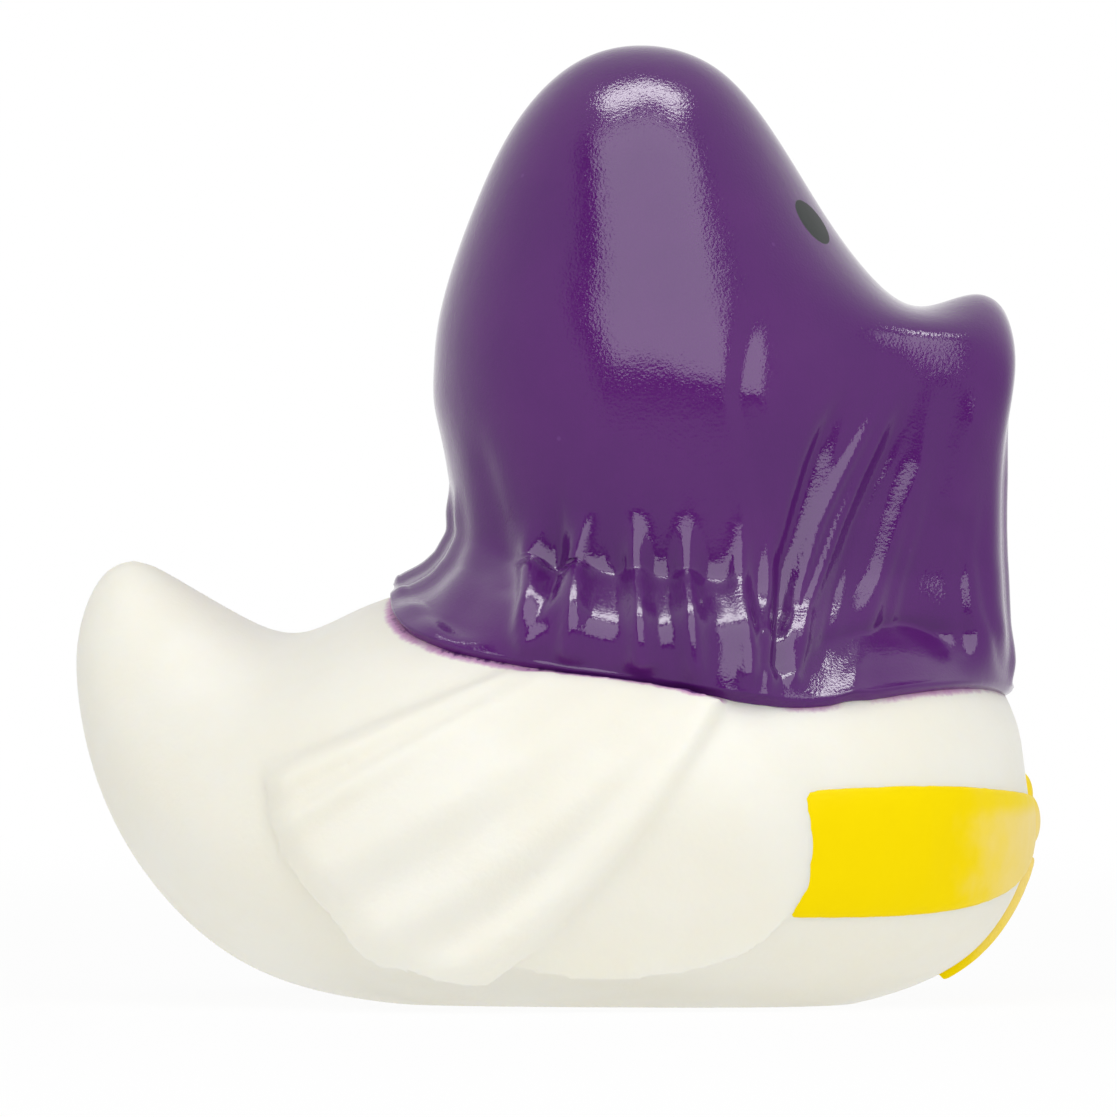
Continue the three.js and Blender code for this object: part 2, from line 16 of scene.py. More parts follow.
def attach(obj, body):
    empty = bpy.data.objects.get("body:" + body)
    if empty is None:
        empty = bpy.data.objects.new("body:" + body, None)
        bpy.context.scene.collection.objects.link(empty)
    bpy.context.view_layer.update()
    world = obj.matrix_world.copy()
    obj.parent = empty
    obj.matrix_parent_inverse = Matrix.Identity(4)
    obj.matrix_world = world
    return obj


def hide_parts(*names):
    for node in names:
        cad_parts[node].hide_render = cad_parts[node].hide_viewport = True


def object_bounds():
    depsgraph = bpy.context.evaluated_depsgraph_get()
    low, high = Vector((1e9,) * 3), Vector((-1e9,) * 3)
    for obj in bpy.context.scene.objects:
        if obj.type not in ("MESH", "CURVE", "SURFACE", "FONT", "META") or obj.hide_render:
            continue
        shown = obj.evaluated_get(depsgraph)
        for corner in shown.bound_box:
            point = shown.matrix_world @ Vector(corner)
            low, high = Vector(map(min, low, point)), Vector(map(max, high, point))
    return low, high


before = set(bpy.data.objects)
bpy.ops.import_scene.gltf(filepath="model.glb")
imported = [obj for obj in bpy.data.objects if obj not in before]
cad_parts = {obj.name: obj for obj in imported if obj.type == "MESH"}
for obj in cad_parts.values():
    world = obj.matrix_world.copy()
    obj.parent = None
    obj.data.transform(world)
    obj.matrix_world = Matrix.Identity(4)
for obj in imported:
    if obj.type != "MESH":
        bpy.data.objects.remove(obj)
cad_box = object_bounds()
bpy.ops.object.select_all(action="DESELECT")

MM = 0.001

# Hull, in millimetres
HULL_LENGTH = 84.4
HULL_WIDTH = 66
TAIL_HEIGHT = 39

# Hood
HOOD_HEIGHT = 84.6
HEAD_WIDTH = 44.6
HEAD_BACK = -10.6
HOOD_FRONT = 40.3
BILL_WIDTH = 22.4
HEM_PROUD = 1.1
HEM_THICKNESS = 1.2
FOLD_DEPTH = 0.85

# Waves by which the skirt's flare lies higher or lower along the hood: height, length and
# start. They fade in over the skirt's levels and out just above the hem
SKIRT_WAVES = ((0.7, 5.3, 0.6), (0.42, 2.3, 2))
SKIRT_LEVELS = 3.6
HEM_FADE = 0.8

# Wings and sleeves
WING_PROUD = 1.5
SLEEVE_PROUD = 0.9
SLEEVE_FLARE = 1.4
PLEAT_DEPTH = 1
PLEATS = 5
PLEAT_START = 0.3
FLARE_POWER = 1.5
EDGE_ROUND = 1.5
EDGE_SHARE = 0.1
SLEEVE_RIM = 0.07
RIM_ROWS = 12

# Belt
BELT_WIDTH = 11
BELT_PROUD = 0.5
KNOT_WIDTH = 6
KNOT_HEIGHT = 7
KNOT_PROUD = 0.9
KNOT_DEPTH = 3
KNOT_DROP = 0.4
KNOT_SHARE = 0.75
LOBE_DEPTH = 2.6
LOBE_SHARE = 0.6
LOBE_APART = 0.28
LOBE_BACK = 2
LOBE_RISE = 2
BELT_END_WIDTH = 3.2
VENT_DIAMETER = 3
VENT_DEPTH = 8

# Faces lower than this, in millimetres, that face down more than this are the flat base
BASE_LEVEL = 0.01
BASE_FACING = -0.99

HEM_LEVEL = 0.73 * TAIL_HEIGHT
# How deep raised forms reach into the hull, and a distance from outside all of the duck
BURIED = 1.2
FAR = 4 * HOOD_HEIGHT

HULL_GRID = ((200, 150), (260, 200))
HOOD_GRID = ((240, 190), (340, 270))
WING_GRID = (140, 24)
SLEEVE_GRID = (160, 70)
BELT_STEPS = 160
BELT_END_STEPS = 60
BODY_VOXEL = (0.6, 0.47)
KNOT_VOXEL = (0.3, 0.2)
BODY_ROUNDS = 10
KNOT_ROUNDS = 5
BELT_ROUNDS = 5
BALL_MESH = (48, 32)
VENT_SIDES = 48

# Painted eyes, as ovals seen from the side: millimetres from the middle of the hull
EYE_CENTRE = (22.35, 68.9)
EYE_SLOPE = math.radians(54)
EYE_HALF_LENGTH = 2.35
EYE_HALF_WIDTH = 0.82
EYE_EDGE = (0.93, 1.05)

# Finishes
HOOD_PURPLE = (0.086, 0.0112, 0.14, 1)
HOOD_PURPLE_WORN = (0.098, 0.0135, 0.152, 1)
HOOD_SPECK = (0.115, 0.025, 0.18, 1)
EYE_BLACK = (0.01, 0.014, 0.013, 1)
VINYL_WHITE = (0.885, 0.87, 0.79, 1)
VINYL_WARM = (0.875, 0.85, 0.745, 1)
VINYL_SPECK = (0.78, 0.76, 0.68, 1)
OVERSPRAY_PINK = (0.5, 0.13, 0.45, 1)
BELT_YELLOW = (0.96, 0.72, 0.0, 1)
BELT_YELLOW_WORN = (0.97, 0.74, 0.0, 1)
BELT_THIN = (0.94, 0.76, 0.4, 1)
# Orange peel: its depth in millimetres, how many bumps a metre, and the share of slow waves
HOOD_PEEL = 0.021
HOOD_PEEL_SCALE = 4000
HOOD_WAVES = 1.6
VINYL_PEEL = 0.025
VINYL_PEEL_SCALE = 1900
VINYL_WAVES = 1.4
BELT_WAVES = 1.2
# Patterns of the skin: how many a metre, and between which values each one sets in
WAVE_SCALE = 420
MOTTLE_SCALE = 60
MOTTLE_EDGE = (0.35, 0.68)
PINHOLE_SCALE = 260
PINHOLE_EDGE = (0.03, 0.075)
CHOICE_SCALE = 90
CHOICE_EDGE = (0.58, 0.62)
HOOD_ROUGHNESS = (0.045, 0.07)
EYE_ROUGHER = 0.5
VINYL_ROUGHNESS = (0.5, 0.62)
BELT_ROUGHNESS = (0.38, 0.5)
HOOD_GLOSS = 0.3
VINYL_GLOSS = 0.25
BELT_GLOSS = 0.03
# Light that enters the vinyl: its share, how far each colour goes, and that in millimetres
VINYL_GLOW = 0.35
VINYL_COLOURS = (1, 0.85, 0.55)
VINYL_DEPTH = 2.5
FLOOR_WHITE = (0.9, 0.9, 0.9, 1)
FLOOR_ROUGHNESS = 0.9
CLOTH_BLACK = (0.01, 0.01, 0.01, 1)

# How far from the hem the overspray reaches, in millimetres: solid paint, then fuzz
SPRAY_SOLID = (0.1, 0.3)
SPRAY_FUZZ = (0.3, 0.72)
SPRAY_WANDER = -0.7
SPRAY_RAGGED = -0.5
SPRAY_STRENGTH = 0.75
RAGGED_SCALE = 900
WANDER_SCALE = 160
SPRAY_KEPT = 6

# Where the belt's paint runs thin: millimetres from the breast, and above the knot's level
THIN_FROM = -5
THIN_TO = 2
THIN_HEIGHT = 1.6
THINNEST = 0.6
THIN_ABOVE = 0.15
BRUSH_WANDER = 5
BRUSH_SCALE = 300

# Light: the room's white is 1, angles are in degrees and distances in metres
ROOM_LEVEL = 0.4
FILLS = (("front_fill", 75, 0.8), ("rear_fill", -75, 0.55))
FILL_ELEVATION = 15
FILL_DISTANCE = 1.2
FILL_SIDE = 1
FLOOR_GLOW = 0.52
FLOOR_SIDE = 12
FLOOR_FADE = (0.1, 0.6)
FLOOR_NEAR = 0.92
BOX_TILT = 50
BOX_DISTANCE = 1
BOX_FACE_SHARE = 0.995
RIM_SHARE = 1.01
BOX_SIDE = 1.32
BOX_LEVEL = 1.3
BOX_MIRRORED = 3.3
STRIP_MIRRORED = 15
STRIP_ELEVATION = 94
STRIP_SIZE = (0.84, 0.19)
RIM_LOW = 0.28
RIM_BACK = 0.24
RIM_FRONT = 0.08

# Camera: the photo's width in pixels, and how many millimetres a pixel shows at the duck
PHOTO_WIDTH = 1117
PIXEL = 0.0885
CAMERA_DISTANCE = 1.6
CAMERA_RISE = math.radians(0.5)
SENSOR = 36
NEAREST = 0.05
FRAME_WIDTH = PHOTO_WIDTH * PIXEL * MM
FRAME_MIDDLE = (0, 0, 39.2 * MM)


def clamp(t):
    return np.clip(t, 0, 1)


def fade(t):
    t = clamp(t)
    return t * t * (3 - 2 * t)


def lerp(a, b, t):
    return a + (b - a) * t


class ThroughCurve:
    """A cubic B-spline through its points, which are at t = 0, 1, 2 and so on."""

    def __init__(self, points, closed=False):
        points = np.asarray(points, float)
        count = len(points)
        self.closed = closed
        self.count = count
        matrix = np.zeros((count, count))
        for i in range(count):
            if not closed and i in (0, count - 1):
                matrix[i, i] = 1
                continue
            matrix[i, i] = 4 / 6
            matrix[i, (i - 1) % count] += 1 / 6
            matrix[i, (i + 1) % count] += 1 / 6
        flat = np.linalg.solve(matrix, points.reshape(count, -1))
        self.controls = flat.reshape(points.shape)

    def at(self, t):
        t = np.asarray(t, float)
        controls = self.controls
        if self.closed:
            spans = self.count
            t = t % spans
            padded = np.concatenate([controls[-1:], controls, controls[:2]])
        else:
            spans = self.count - 1
            before = 2 * controls[:1] - controls[1:2]
            after = 2 * controls[-1:] - controls[-2:-1]
            padded = np.concatenate([before, controls, after])
        first = np.minimum(np.floor(t).astype(int), spans - 1)
        f = t - first
        early = 3 * f ** 3 - 6 * f ** 2 + 4
        late = -3 * f ** 3 + 3 * f ** 2 + 3 * f + 1
        weights = [(1 - f) ** 3, early, late, f ** 3]
        shape = t.shape + (1,) * (controls.ndim - 1)
        return sum(w.reshape(shape) / 6 * padded[first + k] for k, w in enumerate(weights))


# Lofts

def loft(name, rings, start, end):
    """A closed skin over rings of points, from a start point to an end point."""
    rings = np.asarray(rings, float)
    rows, columns = rings.shape[:2]
    bpy.ops.mesh.primitive_uv_sphere_add(segments=columns, ring_count=rows + 1, radius=1)
    piece = bpy.context.object
    piece.name = name
    piece.data.name = name
    count = len(piece.data.vertices)
    sphere = np.empty(count * 3)
    piece.data.vertices.foreach_get("co", sphere)
    sphere = sphere.reshape(-1, 3)
    down = np.arccos(np.clip(sphere[:, 2], -1, 1)) / math.pi
    row = np.rint(down * (rows + 1)).astype(int)
    turn = np.arctan2(sphere[:, 1], sphere[:, 0]) / (2 * math.pi)
    column = np.rint(turn * columns).astype(int) % columns
    placed = rings[np.clip(row - 1, 0, rows - 1), column]
    placed[row == 0] = start
    placed[row == rows + 1] = end
    piece.data.vertices.foreach_set("co", (placed * MM).ravel())
    piece.data.update()
    face_outwards(piece)
    return piece


def face_outwards(piece):
    bpy.ops.object.select_all(action="DESELECT")
    piece.select_set(True)
    bpy.context.view_layer.objects.active = piece
    bpy.ops.object.mode_set(mode="EDIT")
    bpy.ops.mesh.select_all(action="SELECT")
    bpy.ops.mesh.normals_make_consistent(inside=False)
    bpy.ops.object.mode_set(mode="OBJECT")


def slab(name, outer, inner):
    """A closed skin round an outer and an inner grid of points."""
    rings = np.concatenate([outer, inner[:, ::-1]], axis=1)
    return loft(name, rings, rings[0].mean(axis=0), rings[-1].mean(axis=0))


def mirrored(points):
    return np.asarray(points) * (1, -1, 1)


def both_sides(name, maker, *shapes):
    left = maker(name + "_left", *shapes)
    right = maker(name + "_right", *[mirrored(shape) for shape in shapes])
    return [left, right]


def tree_of(piece):
    return BVHTree.FromObject(piece, bpy.context.evaluated_depsgraph_get())


def first_hit(tree, start, towards):
    """Where a line from outside, towards a point, first meets a shape, in millimetres."""
    start = Vector(start)
    direction = (Vector(towards) - start).normalized()
    spot = tree.ray_cast(start * MM, direction)[0]
    if spot is None:
        raise ValueError("a raised form lies off the hull")
    return np.array(spot) / MM


def grid_normals(rings):
    """Outward normals of a closed grid of rings, whose turns run anticlockwise going down."""
    across = np.roll(rings, -1, axis=1) - np.roll(rings, 1, axis=1)
    along = np.gradient(rings, axis=0)
    normals = np.cross(along, across)
    return normals / np.linalg.norm(normals, axis=2, keepdims=True)


# Hull stations from tail to breast, as shares of its length, the tail's height and its width:
# along and up at the top, along and up at the floor, and how wide
STATIONS = np.array([
    [0.028, 0.969, 0.028, 0.969, 0],
    [0.063, 1, 0.006, 0.872, 0.11],
    [0.108, 0.956, 0, 0.736, 0.23],
    [0.167, 0.882, 0.017, 0.533, 0.395],
    [0.233, 0.836, 0.066, 0.313, 0.62],
    [0.31, 0.903, 0.157, 0.115, 0.82],
    [0.434, 0.974, 0.305, 0.006, 0.955],
    [0.6, 1.026, 0.54, -0.026, 1],
    [0.789, 0.974, 0.742, -0.026, 0.94],
    [0.908, 0.872, 0.884, 0.044, 0.76],
    [0.977, 0.679, 0.956, 0.154, 0.51],
    [0.993, 0.538, 0.992, 0.295, 0.275],
    [1, 0.418, 1, 0.418, 0],
])
# How far up its height a section is widest, and how square it is below that
WAIST = 0.42
LOWER_SQUARENESS = 2.6


def hull_x(share):
    return (share - 0.5) * HULL_LENGTH


def hull_outline():
    x_top, z_top, x_floor, z_floor, width = STATIONS.T
    half = width * HULL_WIDTH / 2
    top = np.stack([hull_x(x_top), half, z_top * TAIL_HEIGHT], axis=1)
    floor = np.stack([hull_x(x_floor), -half, z_floor * TAIL_HEIGHT], axis=1)
    return ThroughCurve(np.concatenate([top, floor[1:-1][::-1]]), closed=True)


def make_hull(around, rows):
    outline = hull_outline()
    last = len(STATIONS) - 1
    stations = np.linspace(0, last, rows + 1)[1:-1]
    top = outline.at(stations)[:, None, :]
    floor = outline.at(-stations)[:, None, :]
    angle = 2 * math.pi * np.arange(around) / around
    power = np.where(np.cos(angle) < 0, 2 / LOWER_SQUARENESS, 1)
    rise = np.sign(np.cos(angle)) * np.abs(np.cos(angle)) ** power
    side = np.sign(np.sin(angle)) * np.abs(np.sin(angle)) ** power
    height = np.where(rise > 0, WAIST + (1 - WAIST) * rise, WAIST * (1 + rise))[None, :, None]
    rings = floor + (top - floor) * height
    rings[:, :, 1] = side * top[:, :, 1]
    return loft("hull", rings, outline.at(0.0), outline.at(float(last)))


# Hood levels from the crown down, as shares along the hood and up it: along and up at the back,
# along and up at the front, how wide, how high at the side, and how much of it is drape
LEVELS = np.array([
    [0.245, 0.972, 0.496, 0.961, 0.283, 0.968, 0],
    [0.146, 0.883, 0.599, 0.851, 0.552, 0.867, 0],
    [0.079, 0.765, 0.685, 0.726, 0.744, 0.745, 0],
    [0.032, 0.65, 0.769, 0.628, 0.874, 0.632, 0.1],
    [0.007, 0.561, 0.851, 0.589, 0.951, 0.552, 0.45],
    [0, 0.496, 0.945, 0.608, 0.986, 0.49, 0.8],
    [0, 0.437, 1.003, 0.549, 1, 0.428, 1],
    [0.016, 0.366, 0.988, 0.402, 1.004, 0.331, 1],
    [0.036, 0.25, 0.981, 0.25, 1.004, 0.205, 1],
    [0.02, 0.217, 0.983, 0.17, 1.07, 0.15, 1],
    [-0.01, 0.19, 0.986, 0.1, 1.24, 0.1, 1],
    [-0.045, 0.166, 0.99, 0.055, 1.31, 0.06, 1],
])
CROWN = (0.368, 1)
# Rails from front to back: a share along the level, one of half its width, and how much of the
# front's or the back's height it takes in place of the side's
BARE_RAILS = np.array([
    [1, 0, 1],
    [0.953, 0.423, 0.8],
    [0.821, 0.766, 0.35],
    [0.629, 0.966, 0.1],
    [0.413, 0.985, 0],
    [0.117, 0.643, 0.5],
    [0, 0, 1],
])
BILL_HALF = BILL_WIDTH / HEAD_WIDTH
BILL_FLARE = 0.3
# How many rails, from the front, belong to the bill, and to the hood's front half
BILL_RAILS = 3
FRONT_RAILS = 4
DRAPED_RAILS = np.array([
    [1, 0, 1],
    [0.985, 0.97 * BILL_HALF, 0.44],
    [0.82, 1.28 * BILL_HALF, 0.2],
    [0.65, 0.87, 0.04],
    [0.39, 1, 0],
    [0.11, 0.7, 0.5],
    [0, 0, 1],
])
# The hem's rails on the hull, as shares of its length, half its width and the tail's height
HEM_RAILS = np.array([
    [0.985, 0, 0.715],
    [0.962, 0.35, 0.735],
    [0.872, 0.7, 0.727],
    [0.748, 0.85, 0.695],
    [0.6, 0.9, 0.75],
    [0.4, 0.53, 0.8],
    [0.337, 0, 0.938],
])
# The point inside the hull from which the hem and what hangs are seated on the hull
HEM_HEART = np.array([0.14 * HULL_LENGTH, 0, 0.55 * TAIL_HEIGHT])
RAILS = 2 * (len(BARE_RAILS) - 1)
# What hangs lower than this share of the hood is kept this far off the hull
HANGING_BELOW = 0.3
LEAST_PROUD = 0.5 * HEM_PROUD
# Rounding of the hem: shares of how proud it stands, and of its thickness downwards
LIP = ((0.93, 0.12), (0.8, 0.28), (0.6, 0.42), (0.35, 0.5), (0, 0.5))
# How far folds are calmed at the hem, and from how many levels above it
HEM_CALM = 0.65
CALM_LEVELS = 0.45
# The share of its height that a fold starts with, and how fast it rises along its path
FOLD_START = 0.15
FOLD_RISE = 2.5
# How fast the side's folds take over from those of the front and the back
SIDE_TURN = 2

# Folds as seen from the side, from their upper end to the hem: height as a share of the fold
# depth, width in millimetres, and then shares along the hood and up it
SIDE_FOLDS = [
    [-0.7, 0.7, [0.215, 0.329], [0.213, 0.205], [0.201, 0.137], [0.148, 0.054]],
    [-0.35, 1, [0.067, 0.412], [0.095, 0.317], [0.117, 0.249], [0.128, 0.153]],
    [0.45, 1.3, [0.036, 0.412], [0.058, 0.276], [0.071, 0.208], [0.058, 0.157], [-0.019, 0.064]],
    [-0.7, 1.2, [0.022, 0.182], [-0.068, 0.146]],
    [0.7, 1.2, [0.262, 0.2], [0.195, 0.1], [0.158, 0.045]],
    [1.3, 1, [0.172, 0.26], [0.17, 0.134], [0.155, 0.045]],
    [1.4, 1, [0.264, 0.27], [0.25, 0.16], [0.236, 0.045]],
    [1.5, 1.05, [0.35, 0.27], [0.352, 0.151], [0.36, 0.035]],
    [1.5, 1, [0.436, 0.27], [0.436, 0.16], [0.446, 0.06], [0.452, 0.0]],
    [1.3, 0.9, [0.53, 0.26], [0.525, 0.14], [0.54, 0.05], [0.54, -0.01]],
    [0.9, 0.6, [0.58, 0.23], [0.575, 0.098], [0.573, -0.02]],
    [-1, 0.9, [0.722, 0.467], [0.684, 0.4], [0.657, 0.336], [0.633, 0.265], [0.606, 0.182], [0.59, 0.034]],
    [0.7, 0.55, [0.79, 0.46], [0.745, 0.395], [0.7, 0.318], [0.664, 0.25], [0.622, 0.13], [0.603, 0.03]],
    [0.75, 0.6, [0.808, 0.462], [0.77, 0.395], [0.728, 0.318], [0.692, 0.24], [0.645, 0.12], [0.618, 0.01]],
    [-0.35, 0.5, [0.83, 0.45], [0.8, 0.39], [0.76, 0.315], [0.725, 0.24], [0.69, 0.14], [0.665, 0.03]],
    [0.95, 1.25, [0.862, 0.455], [0.838, 0.34], [0.8, 0.25], [0.768, 0.159], [0.735, 0.075], [0.72, -0.02]],
    [0.35, 0.6, [0.855, 0.33], [0.83, 0.24], [0.8, 0.15], [0.775, 0.06]],
    [0.5, 1.4, [0.957, 0.46], [0.916, 0.36], [0.9, 0.28]],
    [-0.45, 0.8, [0.963, 0.357], [0.945, 0.201], [0.959, 0.116], [0.983, 0.054], [0.997, -0.005]],
    [-0.25, 0.7, [0.925, 0.3], [0.91, 0.15], [0.92, 0.05]],
    [-0.3, 1.1, [0.56, 0.598], [0.541, 0.527], [0.53, 0.448], [0.553, 0.34], [0.576, 0.25], [0.575, 0.1]],
]
# Folds as seen from the front and the back: shares of half the head's width, and up the hood
FRONT_FOLDS = [
    [0.7, 1.3, [0.202, 0.453], [0.188, 0.24], [0.233, 0.009]],
    [-0.6, 1.2, [0, 0.382], [0, 0.009]],
]
BACK_FOLDS = [
    [0.9, 1.6, [0, 0.311], [0, 0.151]],
    [0.9, 1.7, [0.247, 0.311], [0.283, 0.222], [0.359, 0.116]],
    [0.9, 1.7, [0.493, 0.311], [0.538, 0.205], [0.673, 0.098]],
]


def hood_x(share):
    return lerp(HEAD_BACK, HOOD_FRONT, share)


def hood_z(share):
    return lerp(HEM_LEVEL, HOOD_HEIGHT, share)


def level_rails(level):
    back_x, back_z, front_x, front_z, width, side_z, drape = level
    along, across, lift = lerp(BARE_RAILS, DRAPED_RAILS, drape).T
    rail = np.arange(len(along))
    end_z = np.where(rail < FRONT_RAILS, front_z, back_z)
    x = hood_x(lerp(back_x, front_x, along))
    flare = np.where(rail < BILL_RAILS, BILL_FLARE, 1) * max(width - 1, 0) + min(width, 1)
    y = across * flare * HEAD_WIDTH / 2
    return np.stack([x, y, hood_z(lerp(side_z, end_z, lift))], axis=1)


def seated(tree, design, off):
    """A point seated on the hull, seen from the hood's heart, and so far off it."""
    away = np.asarray(design) - HEM_HEART
    away = away / np.linalg.norm(away)
    return first_hit(tree, HEM_HEART + away * FAR, HEM_HEART) + away * off


def whole_ring(rails):
    return np.concatenate([rails, mirrored(rails[1:-1][::-1])])


def smooth_hood(tree, around, levels):
    designs = [(hull_x(x), y * HULL_WIDTH / 2, z * TAIL_HEIGHT) for x, y, z in HEM_RAILS]
    hem = np.array([seated(tree, design, HEM_PROUD) for design in designs])
    rings = np.array([whole_ring(level_rails(level)) for level in LEVELS] + [whole_ring(hem)])
    crown = np.array([hood_x(CROWN[0]), 0, hood_z(CROWN[1])])
    across = np.roll(rings, -RAILS // 2, axis=1)[::-1]
    crowns = np.repeat(crown[None, None, :], RAILS, axis=1)
    meridians = ThroughCurve(np.concatenate([across, crowns, rings]))
    rails = meridians.at(len(rings) + np.asarray(levels))
    turns = RAILS * np.arange(around) / around
    grid = ThroughCurve(np.swapaxes(rails, 0, 1), closed=True).at(turns)
    return np.swapaxes(grid, 0, 1), crown


def fold_height(folds, places):
    """The height that folds add at places, which are in the same plane as the folds' paths."""
    total = np.zeros(len(places))
    for height, width, *path in folds:
        path = np.array(path)
        nearest = np.full(len(places), np.inf)
        share = np.zeros(len(places))
        for i in range(len(path) - 1):
            span = path[i + 1] - path[i]
            t = clamp((places - path[i]) @ span / (span @ span))
            distance = np.linalg.norm(places - path[i] - t[:, None] * span, axis=1)
            closer = distance < nearest
            nearest[closer] = distance[closer]
            share[closer] = (i + t[closer]) / (len(path) - 1)
        risen = fade(FOLD_START + FOLD_RISE * share)
        total += height * FOLD_DEPTH * risen * np.exp(-(nearest / width) ** 2)
    return total


def in_mm(folds, place):
    return [[height, width] + [place(a, b) for a, b in path] for height, width, *path in folds]


def side_place(a, b):
    return [hood_x(a), hood_z(b)]


def end_place(a, b):
    return [a * HEAD_WIDTH / 2, hood_z(b)]


def folded(grid, calm):
    """The hood with its folds, which are calmed row by row towards the hem."""
    normals = grid_normals(grid)
    flat = grid.reshape(-1, 3)
    facing = normals.reshape(-1, 3)
    sides = fade(SIDE_TURN * np.abs(facing[:, 1]))
    side = fold_height(in_mm(SIDE_FOLDS, side_place), flat[:, [0, 2]])
    upright = np.stack([np.abs(flat[:, 1]), flat[:, 2]], axis=1)
    front = fold_height(in_mm(FRONT_FOLDS, end_place), upright)
    back = fold_height(in_mm(BACK_FOLDS, end_place), upright)
    ends = np.where(facing[:, 0] > 0, front, back)
    height = (sides * side + (1 - sides) * ends) * np.repeat(calm, grid.shape[1])
    return (flat + facing * height[:, None]).reshape(grid.shape)


def off_hull(tree, grid, least):
    """Pushes out what of a grid would lie closer to the hull than a least distance."""
    hanging = grid[:, :, 2] < hood_z(HANGING_BELOW)
    for row, column in zip(*np.nonzero(hanging)):
        spot = grid[row, column]
        away = spot - HEM_HEART
        reach = np.linalg.norm(away)
        away = away / reach
        seat = np.linalg.norm(first_hit(tree, HEM_HEART + away * FAR, HEM_HEART) - HEM_HEART)
        over = reach - seat - least
        if over < least:
            eased = least * math.exp(min(over - least, 0) / least)
            grid[row, column] = HEM_HEART + away * (seat + least + max(over, eased))
    return grid


def skirt_wander(x):
    """How far the skirt's flare lies higher or lower along the hood, in millimetres."""
    return sum(height * np.sin(x / length + start) for height, length, start in SKIRT_WAVES)


def make_hood(tree, around, rows):
    last = len(LEVELS) + 1
    levels = np.concatenate([np.linspace(0, last, rows)[1:-1], [last]])
    grid, crown = smooth_hood(tree, around, levels)
    on_skirt = fade(levels - (last - SKIRT_LEVELS)) * fade((last - levels) / HEM_FADE)
    grid[:, :, 2] += on_skirt[:, None] * skirt_wander(grid[:, :, 0])
    calm = 1 - HEM_CALM * fade((levels - last + CALM_LEVELS) / CALM_LEVELS)
    grid = off_hull(tree, folded(grid, calm), LEAST_PROUD)
    edge = grid[-1]
    lip = []
    for off, drop in LIP:
        row = np.array([seated(tree, spot, off * HEM_PROUD) for spot in edge])
        row[:, 2] -= drop * HEM_THICKNESS
        lip.append(row)
    buried = np.array([seated(tree, spot, -BURIED) for spot in edge])
    grid = np.concatenate([grid, lip, [buried]])
    return loft("hood", grid, crown, HEM_HEART), edge


# Wing outline from its upper front down and round, as shares of the hull's length and the
# tail's height
WING_OUTLINE = np.array([
    [0.716, 0.64],
    [0.761, 0.546],
    [0.773, 0.387],
    [0.744, 0.213],
    [0.687, 0.115],
    [0.59, 0.069],
    [0.493, 0.072],
    [0.41, 0.167],
    [0.398, 0.385],
    [0.481, 0.59],
    [0.611, 0.687],
])
# Below this level the side turns under, so roots are seated this share of the way up to it
TURN_UNDER = 0.32 * TAIL_HEIGHT
ROOT_LIFT = 0.5
# How much of its height a wing loses towards its edge, and how flat its middle is
WING_EDGE_DROP = 0.9
WING_FLATNESS = 4


def root_height(z):
    return z + ROOT_LIFT * max(TURN_UNDER - z, 0)


def side_reach(tree, x, z):
    height = root_height(z)
    return first_hit(tree, (x, FAR, height), (x, 0, height))[1]


def side_root(tree, spot):
    x, _, z = spot
    return (x, side_reach(tree, x, z) - BURIED, root_height(z))


def make_wings(tree, around, rows):
    outline = ThroughCurve(WING_OUTLINE, closed=True)
    rim = outline.at(np.arange(around) / around * len(WING_OUTLINE))
    rim = np.stack([hull_x(rim[:, 0]), rim[:, 1] * TAIL_HEIGHT], axis=1)
    knots = np.stack([hull_x(WING_OUTLINE[:, 0]), WING_OUTLINE[:, 1] * TAIL_HEIGHT], axis=1)
    heart = knots.mean(axis=0)

    def on_dome(share, spot):
        x, z = lerp(heart, spot, share)
        proud = WING_PROUD * (1 - WING_EDGE_DROP * share ** WING_FLATNESS)
        return (x, side_reach(tree, x, z) + proud, z)

    domes = [[on_dome(share, spot) for spot in rim] for share in np.linspace(0, 1, rows + 1)[1:]]
    roots = [side_root(tree, spot) for spot in domes[-1]]
    back = np.array(side_root(tree, (heart[0], 0, heart[1]))) - (0, BURIED, 0)
    rings = np.array(domes + [roots])
    start = np.array(on_dome(0, heart))
    left = loft("wing_left", rings, start, back)
    right = loft("wing_right", mirrored(rings), mirrored(start), mirrored(back))
    return [left, right]


# Sleeve creases from the upper one to the lower: each from the shoulder out, as shares of the
# hull's length and the tail's height
SLEEVE_CREASES = np.array([
    [[0.449, 0.763], [0.323, 0.664], [0.198, 0.549]],
    [[0.472, 0.763], [0.323, 0.587], [0.203, 0.451]],
    [[0.533, 0.754], [0.35, 0.531], [0.217, 0.349]],
    [[0.62, 0.731], [0.432, 0.423], [0.263, 0.213]],
    [[0.653, 0.718], [0.496, 0.333], [0.326, 0.087]],
    [[0.678, 0.695], [0.582, 0.345], [0.434, 0.052]],
])


